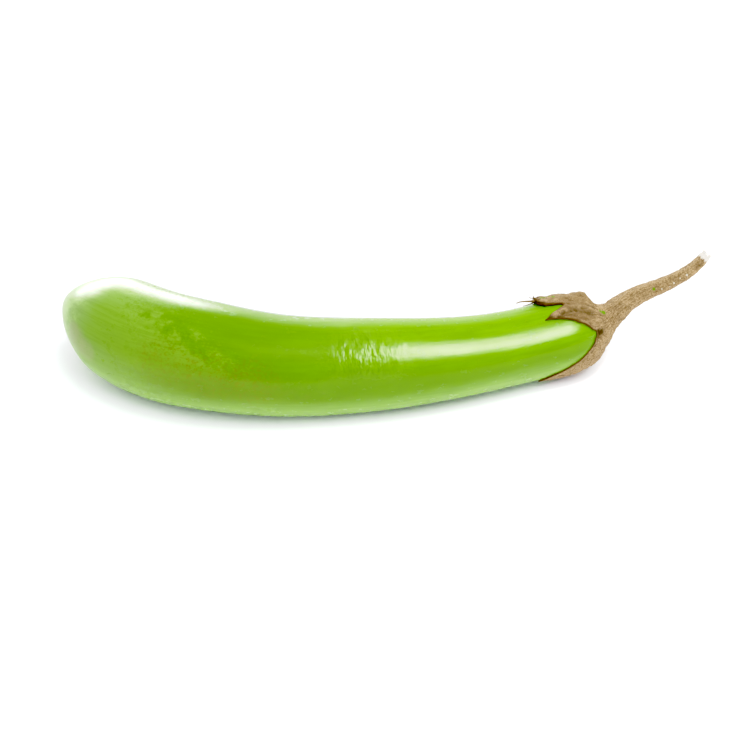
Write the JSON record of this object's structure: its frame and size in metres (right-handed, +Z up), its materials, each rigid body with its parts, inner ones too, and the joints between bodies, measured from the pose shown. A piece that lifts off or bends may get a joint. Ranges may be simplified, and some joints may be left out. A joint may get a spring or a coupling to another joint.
{
  "type": "long green eggplant",
  "caption": "Long, gently curved green eggplant lying on its side, with a dried five-lobed calyx and a bent woody stem.",
  "frame": {"origin": "under the middle of the object's box, on the surface that it lies on", "axes": "+Z up, +X from the blossom end towards the stem, +Y to the inside of the fruit's bend"},
  "size_m": [0.2648, 0.0718, 0.0438],
  "materials": {
    "skin": "taut waxy lime-green skin with a soft gloss, duller and more olive towards the blossom end",
    "dried_calyx": "dry matt tan calyx and stem, wrinkled lengthwise, with darker edges and a pale frayed cut"
  },
  "bodies": {
    "root": {"fruit": "skin", "calyx_and_stem": "dried_calyx"}
  },
  "joints": []
}
